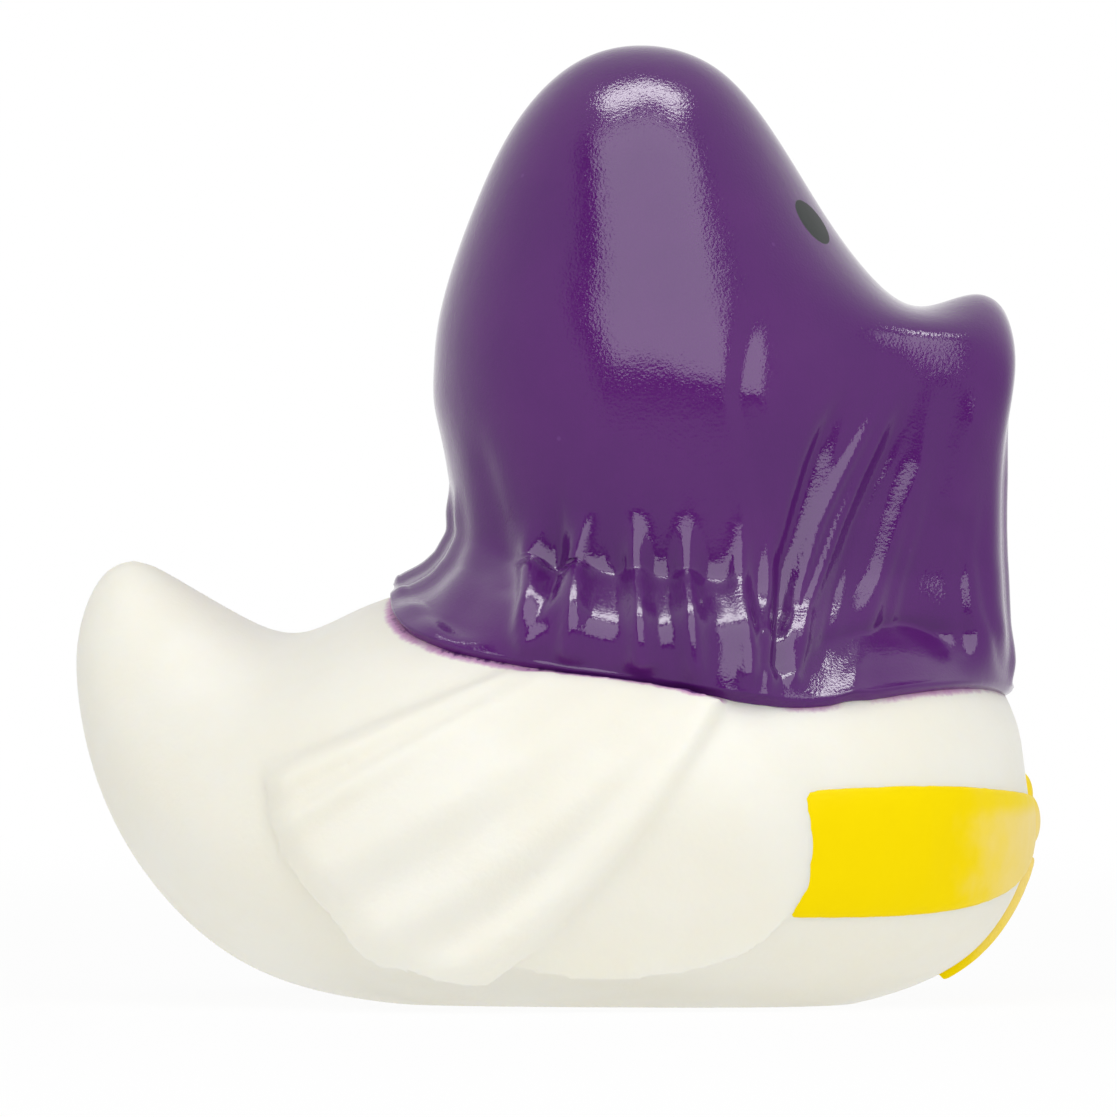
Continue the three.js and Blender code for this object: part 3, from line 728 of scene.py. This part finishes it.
def make_sleeves(tree, columns, rows):
    across = np.linspace(0, 1, columns)
    rim = 1 - SLEEVE_RIM
    down = np.concatenate([np.linspace(0, rim, rows), np.linspace(rim, 1, RIM_ROWS)[1:]])
    creases = ThroughCurve(SLEEVE_CREASES).at(across * (len(SLEEVE_CREASES) - 1))
    places = ThroughCurve(np.swapaxes(creases, 0, 1)).at(2 * down)
    outer = np.empty(places.shape[:2] + (3,))
    for i, d in enumerate(down):
        for j, a in enumerate(across):
            x = hull_x(places[i, j, 0])
            z = places[i, j, 1] * TAIL_HEIGHT
            pleat = 0.5 - 0.5 * math.cos(2 * math.pi * PLEATS * a)
            relief = PLEAT_DEPTH * (pleat - 0.5) * fade(PLEAT_START + d)
            from_edge = min(1 - d, 2 * a, 2 * (1 - a))
            rounding = EDGE_ROUND * (1 - fade(from_edge / EDGE_SHARE))
            proud = SLEEVE_PROUD + WING_PROUD * a + SLEEVE_FLARE * d ** FLARE_POWER
            outer[i, j] = (x, side_reach(tree, x, z) + proud + relief - rounding, z)
    inner = np.array([[side_root(tree, spot) for spot in row] for row in outer])
    return both_sides("sleeve", slab, outer, inner)


# The belt's lower and upper edge from its far ends to the breast, as shares of the tail's height
BELT_EDGES = np.array([
    [0.21, 0.495],
    [0.213, 0.505],
    [0.256, 0.485],
    [0.34, 0.468],
])
# The width among these edges that stands for BELT_WIDTH
BELT_DRAWN = 0.28
# How far the belt goes round to each side, and about which share of the hull's length
BELT_QUARTER = 0.87 * math.pi / 2
BELT_HEART = 0.66
KNOT_LEVEL = 0.42 * TAIL_HEIGHT
# Sections of the belt and its ends: how proud they stand, and shares of half their width
BELT_SECTION = ((0.1, -1), (0.55, -0.97), (0.85, -0.93), (1, -0.86), (1, -0.5), (1, 0),
                (1, 0.5), (1, 0.86), (0.85, 0.93), (0.55, 0.97), (0.1, 1))
END_PROUD = 0.8 * KNOT_PROUD
END_SECTION = ((0.1, -1), (0.7 * END_PROUD, -0.92), (END_PROUD, -0.75), (0.8 * END_PROUD, 0),
               (END_PROUD, 0.75), (0.7 * END_PROUD, 0.92), (0.1, 1))
# The point from which the belt ends are seated, and their route downwards: shares of the
# hull's length and the tail's height, with millimetres across between them in the route
END_HEART = (0.72, 0.5)
END_ROUTE = ((1, 1.2, 0.33), (0.97, 3, 0.2), (0.905, 4.8, 0.06))


def make_belt(tree, steps):
    edges = ThroughCurve(BELT_EDGES)
    outer = []
    inner = []
    for angle in np.linspace(-BELT_QUARTER, BELT_QUARTER, steps):
        share = (1 - abs(angle) / BELT_QUARTER) * (len(BELT_EDGES) - 1)
        low, high = edges.at(share)
        middle = (low + high) / 2 * TAIL_HEIGHT
        half = (high - low) / BELT_DRAWN * BELT_WIDTH / 2
        away = np.array([math.cos(angle), math.sin(angle), 0])
        outer_row = []
        inner_row = []
        for off, side in BELT_SECTION:
            centre = np.array([hull_x(BELT_HEART), 0, middle + side * half])
            seat = first_hit(tree, centre + away * FAR, centre)
            outer_row.append(seat + away * off * BELT_PROUD)
            inner_row.append(seat - away * BURIED)
        outer.append(outer_row)
        inner.append(inner_row)
    return slab("belt", np.array(outer), np.array(inner))


def ball(name, width, depth, height, place):
    segments, rings = BALL_MESH
    bpy.ops.mesh.primitive_uv_sphere_add(segments=segments, ring_count=rings, radius=0.5 * MM)
    piece = bpy.context.object
    piece.name = name
    piece.scale = (depth, width, height)
    piece.location = [v * MM for v in place]
    bpy.ops.object.transform_apply(location=True, rotation=True, scale=True)
    return piece


def make_knot():
    front = hull_x(1) + KNOT_PROUD
    middle = (front - KNOT_DEPTH / 2, 0, KNOT_LEVEL - KNOT_DROP)
    pieces = [ball("knot", KNOT_WIDTH, KNOT_DEPTH, KNOT_SHARE * KNOT_HEIGHT, middle)]
    for side in (1, -1):
        place = (front - LOBE_BACK, side * LOBE_APART * KNOT_WIDTH, KNOT_LEVEL + LOBE_RISE)
        width = LOBE_SHARE * KNOT_WIDTH
        pieces.append(ball("knot_lobe", width, LOBE_DEPTH, LOBE_SHARE * KNOT_HEIGHT, place))
    return pieces


def make_belt_ends(tree):
    route = ThroughCurve([(hull_x(x), y, z * TAIL_HEIGHT) for x, y, z in END_ROUTE])
    heart = np.array([hull_x(END_HEART[0]), 0, END_HEART[1] * TAIL_HEIGHT])
    outer = []
    inner = []
    for share in np.linspace(0, 1, BELT_END_STEPS):
        middle = route.at((len(END_ROUTE) - 1) * share)
        outer_row = []
        inner_row = []
        for off, side in END_SECTION:
            design = middle + (0, side * BELT_END_WIDTH / 2, 0)
            away = (design - heart) / np.linalg.norm(design - heart)
            seat = first_hit(tree, heart + away * FAR, heart)
            outer_row.append(seat + away * off)
            inner_row.append(seat - away * BURIED)
        outer.append(outer_row)
        inner.append(inner_row)
    return both_sides("belt_end", slab, np.array(outer), np.array(inner))


# Joining and finishing

def activate(pieces):
    bpy.ops.object.select_all(action="DESELECT")
    for piece in pieces:
        piece.select_set(True)
    bpy.context.view_layer.objects.active = pieces[0]


def join(name, pieces):
    activate(pieces)
    if len(pieces) > 1:
        bpy.ops.object.join()
    pieces[0].name = name
    pieces[0].data.name = name
    return pieces[0]


def apply_modifiers(piece):
    activate([piece])
    for modifier in list(piece.modifiers):
        bpy.ops.object.modifier_apply(modifier=modifier.name)


def fuse(piece, voxel, rounds):
    """One skin round all that a piece holds, with its inner corners softened."""
    remesh = piece.modifiers.new("one skin", "REMESH")
    remesh.mode = "VOXEL"
    remesh.voxel_size = voxel * MM
    remesh.use_smooth_shade = True
    soften(piece, rounds)


def soften(piece, rounds):
    smooth = piece.modifiers.new("soft corners", "SMOOTH")
    smooth.factor = 0.5
    smooth.iterations = rounds
    apply_modifiers(piece)


def cut_away(piece, tool):
    cut = piece.modifiers.new("cut", "BOOLEAN")
    cut.operation = "DIFFERENCE"
    cut.solver = "EXACT"
    cut.object = tool
    apply_modifiers(piece)
    bpy.data.objects.remove(tool)


def cut_base_and_vent(piece):
    bpy.ops.mesh.primitive_cube_add(size=FAR * MM, location=(0, 0, -FAR * MM / 2))
    cut_away(piece, bpy.context.object)
    radius = VENT_DIAMETER / 2 * MM
    bpy.ops.mesh.primitive_cylinder_add(vertices=VENT_SIDES, radius=radius, depth=VENT_DEPTH * MM)
    cut_away(piece, bpy.context.object)


def set_down(pieces, hull_tail):
    """Moves the pieces from the hull's middle to the frame's origin, by the CAD box's low X."""
    shift = cad_box[0][0] - hull_tail
    for piece in pieces:
        count = len(piece.data.vertices)
        spots = np.empty(count * 3)
        piece.data.vertices.foreach_get("co", spots)
        spots = spots.reshape(-1, 3) + (shift, 0, 0)
        piece.data.vertices.foreach_set("co", spots.ravel())
        piece.data.update()


def lowest_x(piece):
    return min(vertex.co.x for vertex in piece.data.vertices)


def mark_distance(piece, name, spots, limit):
    """Stores on each vertex how far it is from the nearest of some spots, in millimetres."""
    tree = KDTree(len(spots))
    for i, spot in enumerate(spots):
        tree.insert(Vector(spot) * MM, i)
    tree.balance()
    values = [min(tree.find(vertex.co)[2] / MM, limit) for vertex in piece.data.vertices]
    attribute = piece.data.attributes.new(name, "FLOAT", "POINT")
    attribute.data.foreach_set("value", values)


# Materials

def new_material(name):
    material = bpy.data.materials.new(name)
    material.use_nodes = True
    nodes = material.node_tree.nodes
    return material, nodes, material.node_tree.links, nodes["Principled BSDF"]


def new_group(name, inputs, outputs):
    group = bpy.data.node_groups.new(name, "ShaderNodeTree")
    for label, kind, value in inputs:
        socket = group.interface.new_socket(label, in_out="INPUT", socket_type=kind)
        socket.default_value = value
    for label, kind in outputs:
        group.interface.new_socket(label, in_out="OUTPUT", socket_type=kind)
    given = group.nodes.new("NodeGroupInput")
    put = group.nodes.new("NodeGroupOutput")
    return group, group.nodes, group.links, given, put


def place_group(nodes, group, **values):
    node = nodes.new("ShaderNodeGroup")
    node.node_tree = group
    for label, value in values.items():
        node.inputs[label.replace("_", " ")].default_value = value
    return node


def noise(nodes, links, place, scale, detail=3, roughness=0.5):
    node = nodes.new("ShaderNodeTexNoise")
    node.inputs["Scale"].default_value = scale
    node.inputs["Detail"].default_value = detail
    node.inputs["Roughness"].default_value = roughness
    links.new(place, node.inputs["Vector"])
    return node.outputs["Fac"]


def calculate(nodes, links, operation, a, b=None, c=None):
    node = nodes.new("ShaderNodeMath")
    node.operation = operation
    for socket, value in zip(node.inputs, (a, b, c)):
        if value is None:
            continue
        if isinstance(value, (int, float)):
            socket.default_value = value
        else:
            links.new(value, socket)
    return node.outputs[0]


def smooth_step(nodes, links, value, low, high, from_value=0, to_value=1):
    node = nodes.new("ShaderNodeMapRange")
    node.interpolation_type = "SMOOTHSTEP"
    node.inputs["From Min"].default_value = low
    node.inputs["From Max"].default_value = high
    node.inputs["To Min"].default_value = from_value
    node.inputs["To Max"].default_value = to_value
    links.new(value, node.inputs["Value"])
    return node.outputs["Result"]


def blend(nodes, links, share, a, b):
    node = nodes.new("ShaderNodeMix")
    node.data_type = "RGBA"
    for socket, value in ((node.inputs["A"], a), (node.inputs["B"], b)):
        if isinstance(value, tuple):
            socket.default_value = value
        else:
            links.new(value, socket)
    links.new(share, node.inputs["Factor"])
    return node.outputs["Result"]


def bump(nodes, links, height, distance):
    node = nodes.new("ShaderNodeBump")
    node.inputs["Distance"].default_value = distance
    links.new(height, node.inputs["Height"])
    return node.outputs["Normal"]


def moulded_skin():
    """The skin of a rotation moulding: orange peel, pinholes and a slow mottle."""
    group, nodes, links, given, put = new_group(
        "moulded skin",
        [("Peel Scale", "NodeSocketFloat", 2200), ("Wave Share", "NodeSocketFloat", 0.5)],
        [("Height", "NodeSocketFloat"), ("Mottle", "NodeSocketFloat"), ("Specks", "NodeSocketFloat")],
    )
    place = nodes.new("ShaderNodeTexCoord").outputs["Object"]
    peel = nodes.new("ShaderNodeTexNoise")
    peel.inputs["Detail"].default_value = 2
    links.new(place, peel.inputs["Vector"])
    links.new(given.outputs["Peel Scale"], peel.inputs["Scale"])
    wave = noise(nodes, links, place, WAVE_SCALE, 2)
    height = calculate(nodes, links, "MULTIPLY_ADD", wave, given.outputs["Wave Share"], peel.outputs["Fac"])
    links.new(height, put.inputs["Height"])
    slow = noise(nodes, links, place, MOTTLE_SCALE, 4, 0.6)
    links.new(smooth_step(nodes, links, slow, *MOTTLE_EDGE), put.inputs["Mottle"])
    pinholes = nodes.new("ShaderNodeTexVoronoi")
    pinholes.inputs["Scale"].default_value = PINHOLE_SCALE
    links.new(place, pinholes.inputs["Vector"])
    chosen = noise(nodes, links, place, CHOICE_SCALE, 2)
    near = smooth_step(nodes, links, pinholes.outputs["Distance"], *PINHOLE_EDGE, 1, 0)
    some = smooth_step(nodes, links, chosen, *CHOICE_EDGE)
    links.new(calculate(nodes, links, "MULTIPLY", near, some), put.inputs["Specks"])
    return group


def oval_mask(nodes, links, centre, slope, half_length, half_width):
    """One inside an oval seen from the side, nought outside, on both sides of the hood."""
    place = nodes.new("ShaderNodeTexCoord").outputs["Object"]
    turned = nodes.new("ShaderNodeMapping")
    turned.vector_type = "TEXTURE"
    turned.inputs["Location"].default_value = (centre[0] * MM, 0, centre[1] * MM)
    turned.inputs["Rotation"].default_value = (0, slope, 0)
    turned.inputs["Scale"].default_value = (half_length * MM, 1, half_width * MM)
    links.new(place, turned.inputs["Vector"])
    parts = nodes.new("ShaderNodeSeparateXYZ")
    links.new(turned.outputs[0], parts.inputs[0])
    across = calculate(nodes, links, "MULTIPLY", parts.outputs["Z"], parts.outputs["Z"])
    reach = calculate(nodes, links, "MULTIPLY_ADD", parts.outputs["X"], parts.outputs["X"], across)
    return smooth_step(nodes, links, reach, *EYE_EDGE, 1, 0)


def hood_paint(skin):
    material, nodes, links, shader = new_material("purple hood paint")
    texture = place_group(nodes, skin, Peel_Scale=HOOD_PEEL_SCALE, Wave_Share=HOOD_WAVES)
    mottled = blend(nodes, links, texture.outputs["Mottle"], HOOD_PURPLE, HOOD_PURPLE_WORN)
    specked = blend(nodes, links, texture.outputs["Specks"], mottled, HOOD_SPECK)
    eye = oval_mask(nodes, links, EYE_CENTRE, EYE_SLOPE, EYE_HALF_LENGTH, EYE_HALF_WIDTH)
    links.new(blend(nodes, links, eye, specked, EYE_BLACK), shader.inputs["Base Color"])
    worn = smooth_step(nodes, links, texture.outputs["Mottle"], 0, 1, *HOOD_ROUGHNESS)
    shader.inputs["Specular IOR Level"].default_value = HOOD_GLOSS
    links.new(calculate(nodes, links, "MULTIPLY_ADD", eye, EYE_ROUGHER, worn), shader.inputs["Roughness"])
    links.new(bump(nodes, links, texture.outputs["Height"], HOOD_PEEL * MM), shader.inputs["Normal"])
    return material


def white_vinyl(skin):
    material, nodes, links, shader = new_material("white vinyl")
    texture = place_group(nodes, skin, Peel_Scale=VINYL_PEEL_SCALE, Wave_Share=VINYL_WAVES)
    mottled = blend(nodes, links, texture.outputs["Mottle"], VINYL_WHITE, VINYL_WARM)
    specked = blend(nodes, links, texture.outputs["Specks"], mottled, VINYL_SPECK)
    distance = nodes.new("ShaderNodeAttribute")
    distance.attribute_name = "from_hem"
    place = nodes.new("ShaderNodeTexCoord").outputs["Object"]
    ragged = noise(nodes, links, place, RAGGED_SCALE, 4, 0.7)
    wander = noise(nodes, links, place, WANDER_SCALE, 2)
    spread = calculate(nodes, links, "MULTIPLY_ADD", wander, SPRAY_WANDER, distance.outputs["Fac"])
    edge = calculate(nodes, links, "MULTIPLY_ADD", ragged, SPRAY_RAGGED, spread)
    fuzz = smooth_step(nodes, links, edge, *SPRAY_FUZZ, 1, 0)
    solid = smooth_step(nodes, links, edge, *SPRAY_SOLID, 1, 0)
    dusted = calculate(nodes, links, "MULTIPLY", fuzz, SPRAY_STRENGTH)
    fuzzy = blend(nodes, links, dusted, specked, OVERSPRAY_PINK)
    links.new(blend(nodes, links, solid, fuzzy, HOOD_PURPLE), shader.inputs["Base Color"])
    rough = smooth_step(nodes, links, texture.outputs["Mottle"], 0, 1, *VINYL_ROUGHNESS)
    links.new(rough, shader.inputs["Roughness"])
    links.new(bump(nodes, links, texture.outputs["Height"], VINYL_PEEL * MM), shader.inputs["Normal"])
    shader.inputs["Specular IOR Level"].default_value = VINYL_GLOSS
    shader.inputs["Subsurface Weight"].default_value = VINYL_GLOW
    shader.inputs["Subsurface Radius"].default_value = VINYL_COLOURS
    shader.inputs["Subsurface Scale"].default_value = VINYL_DEPTH * MM
    return material


def belt_paint(skin, front):
    material, nodes, links, shader = new_material("yellow belt paint")
    texture = place_group(nodes, skin, Peel_Scale=VINYL_PEEL_SCALE, Wave_Share=BELT_WAVES)
    mottled = blend(nodes, links, texture.outputs["Mottle"], BELT_YELLOW, BELT_YELLOW_WORN)
    place = nodes.new("ShaderNodeTexCoord").outputs["Object"]
    parts = nodes.new("ShaderNodeSeparateXYZ")
    links.new(place, parts.inputs[0])
    brushed = noise(nodes, links, place, BRUSH_SCALE, 3)
    along = calculate(nodes, links, "MULTIPLY_ADD", brushed, BRUSH_WANDER * MM, parts.outputs["X"])
    ahead = smooth_step(nodes, links, along, (front + THIN_FROM) * MM, (front + THIN_TO) * MM, 0, THINNEST)
    low = KNOT_LEVEL * MM
    high = (KNOT_LEVEL + THIN_HEIGHT) * MM
    under = smooth_step(nodes, links, parts.outputs["Z"], low, high, 1, THIN_ABOVE)
    thin = calculate(nodes, links, "MULTIPLY", ahead, under)
    links.new(blend(nodes, links, thin, mottled, BELT_THIN), shader.inputs["Base Color"])
    rough = smooth_step(nodes, links, texture.outputs["Mottle"], 0, 1, *BELT_ROUGHNESS)
    links.new(rough, shader.inputs["Roughness"])
    links.new(bump(nodes, links, texture.outputs["Height"], VINYL_PEEL * MM), shader.inputs["Normal"])
    shader.inputs["Specular IOR Level"].default_value = BELT_GLOSS
    return material


def seen_or_mirrored(nodes, links):
    """One for a ray of the camera, of gloss or through glass, and nought for light."""
    path = nodes.new("ShaderNodeLightPath")
    seen = calculate(nodes, links, "MAXIMUM", path.outputs["Is Camera Ray"], path.outputs["Is Glossy Ray"])
    return calculate(nodes, links, "MAXIMUM", seen, path.outputs["Is Transmission Ray"])


def floor_paint():
    material, nodes, links, shader = new_material("white sweep")
    shader.inputs["Base Color"].default_value = FLOOR_WHITE
    shader.inputs["Roughness"].default_value = FLOOR_ROUGHNESS
    glow = nodes.new("ShaderNodeEmission")
    mix = nodes.new("ShaderNodeMixShader")
    seen = seen_or_mirrored(nodes, links)
    place = nodes.new("ShaderNodeTexCoord").outputs["Object"]
    away = nodes.new("ShaderNodeVectorMath")
    away.operation = "LENGTH"
    links.new(place, away.inputs[0])
    far = smooth_step(nodes, links, away.outputs["Value"], *FLOOR_FADE, FLOOR_NEAR, 1)
    extra = calculate(nodes, links, "SUBTRACT", far, FLOOR_GLOW)
    share = calculate(nodes, links, "MULTIPLY_ADD", seen, extra, FLOOR_GLOW)
    links.new(share, mix.inputs["Fac"])
    links.new(shader.outputs[0], mix.inputs[1])
    links.new(glow.outputs[0], mix.inputs[2])
    links.new(mix.outputs[0], nodes["Material Output"].inputs["Surface"])
    return material


def paint(piece, material):
    piece.data.materials.clear()
    piece.data.materials.append(material)
    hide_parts("duck")
    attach(piece, "root")
    activate([piece])
    bpy.ops.object.shade_smooth()
    for face in piece.data.polygons:
        if face.center.z < BASE_LEVEL * MM and face.normal.z < BASE_FACING:
            face.use_smooth = False


# Stage

def make_stage():
    bpy.ops.mesh.primitive_plane_add(size=FLOOR_SIDE, location=(0, 0, 0))
    floor = bpy.context.object
    floor.name = "floor"
    floor.data.materials.append(floor_paint())


def make_room():
    """A white room: full white where it is seen or mirrored, and a plain level as light."""
    world = bpy.data.worlds.new("white room")
    bpy.context.scene.world = world
    world.use_nodes = True
    nodes = world.node_tree.nodes
    links = world.node_tree.links
    strength = smooth_step(nodes, links, seen_or_mirrored(nodes, links), 0, 1, ROOM_LEVEL, 1)
    nodes["Background"].inputs["Color"].default_value = (1, 1, 1, 1)
    links.new(strength, nodes["Background"].inputs["Strength"])


def around_duck(azimuth, elevation, distance):
    """A place seen from the duck's middle; azimuth 0 is the camera's side, 90 the duck's front."""
    turn = math.radians(azimuth)
    lift = math.radians(elevation)
    away = Vector((math.sin(turn) * math.cos(lift), -math.cos(turn) * math.cos(lift), math.sin(lift)))
    return Vector(FRAME_MIDDLE) + distance * away


def make_lamp(name, azimuth, elevation, distance, size, level):
    """An area lamp that faces the duck, as bright to look at as a level of the room's white."""
    lamp = bpy.data.lights.new(name, "AREA")
    lamp.shape = "RECTANGLE"
    lamp.size, lamp.size_y = size
    lamp.energy = level * math.pi * size[0] * size[1]
    holder = bpy.data.objects.new(name, lamp)
    bpy.context.collection.objects.link(holder)
    holder.location = around_duck(azimuth, elevation, distance)
    holder.rotation_euler = (Vector(FRAME_MIDDLE) - holder.location).to_track_quat("-Z", "Y").to_euler()
    return holder


def make_softbox():
    """A square softbox with a dark rim, which the glossy hood mirrors as its dark zones."""
    size = (BOX_SIDE, BOX_SIDE)
    box = make_lamp("softbox", 0, BOX_TILT, BOX_DISTANCE, size, BOX_LEVEL)
    face = make_lamp("softbox_face", 0, BOX_TILT, BOX_FACE_SHARE * BOX_DISTANCE, size, BOX_MIRRORED)
    face.visible_diffuse = False
    bpy.ops.mesh.primitive_plane_add(size=1)
    rim = bpy.context.object
    rim.name = "softbox_rim"
    rim.rotation_euler = box.rotation_euler
    rim.location = box.location * RIM_SHARE
    half = BOX_SIDE / 2
    for vertex in rim.data.vertices:
        vertex.co.x = half + RIM_FRONT if vertex.co.x > 0 else -half - RIM_BACK
        vertex.co.y = half + RIM_FRONT if vertex.co.y > 0 else -half - RIM_LOW
    material, _, _, shader = new_material("black rim cloth")
    shader.inputs["Base Color"].default_value = CLOTH_BLACK
    shader.inputs["Roughness"].default_value = 1
    rim.data.materials.append(material)
    rim.visible_camera = False
    rim.visible_diffuse = False
    rim.visible_shadow = False


def make_strip_and_fills():
    """A strip that only gloss mirrors, and two soft lamps that it doesn't."""
    strip = make_lamp("overhead_strip", 0, STRIP_ELEVATION, BOX_DISTANCE, STRIP_SIZE, STRIP_MIRRORED)
    strip.visible_diffuse = False
    for name, azimuth, level in FILLS:
        fill = make_lamp(name, azimuth, FILL_ELEVATION, FILL_DISTANCE, (FILL_SIDE, FILL_SIDE), level)
        fill.visible_glossy = False


def make_camera():
    lens = bpy.data.cameras.new("camera")
    lens.sensor_width = SENSOR
    lens.lens = SENSOR * CAMERA_DISTANCE / FRAME_WIDTH
    lens.clip_start = NEAREST
    holder = bpy.data.objects.new("camera", lens)
    bpy.context.collection.objects.link(holder)
    middle = Vector(FRAME_MIDDLE)
    holder.location = middle + CAMERA_DISTANCE * Vector((0, -math.cos(CAMERA_RISE), math.sin(CAMERA_RISE)))
    holder.rotation_euler = (middle - holder.location).to_track_quat("-Z", "Y").to_euler()
    bpy.context.scene.camera = holder


def main():
    detail = 1
    hull = make_hull(*HULL_GRID[detail])
    tree = tree_of(hull)
    hull_tail = lowest_x(hull)
    hood, hem = make_hood(tree, *HOOD_GRID[detail])
    raised = [*make_wings(tree, *WING_GRID), *make_sleeves(tree, *SLEEVE_GRID)]
    band = make_belt(tree, BELT_STEPS)
    knot = join("knot", [*make_knot(), *make_belt_ends(tree)])
    body = join("body", [hull, *raised])
    fuse(body, BODY_VOXEL[detail], BODY_ROUNDS)
    fuse(knot, KNOT_VOXEL[detail], KNOT_ROUNDS)
    soften(band, BELT_ROUNDS)
    belt = join("belt", [band, knot])
    cut_base_and_vent(body)
    mark_distance(body, "from_hem", hem, SPRAY_KEPT)
    set_down([hood, body, belt], hull_tail)
    skin = moulded_skin()
    paint(hood, hood_paint(skin))
    paint(body, white_vinyl(skin))
    paint(belt, belt_paint(skin, HULL_LENGTH / 2))
    make_stage()
    make_room()
    make_softbox()
    make_strip_and_fills()
    make_camera()
    bpy.context.scene.view_settings.view_transform = "Standard"


main()
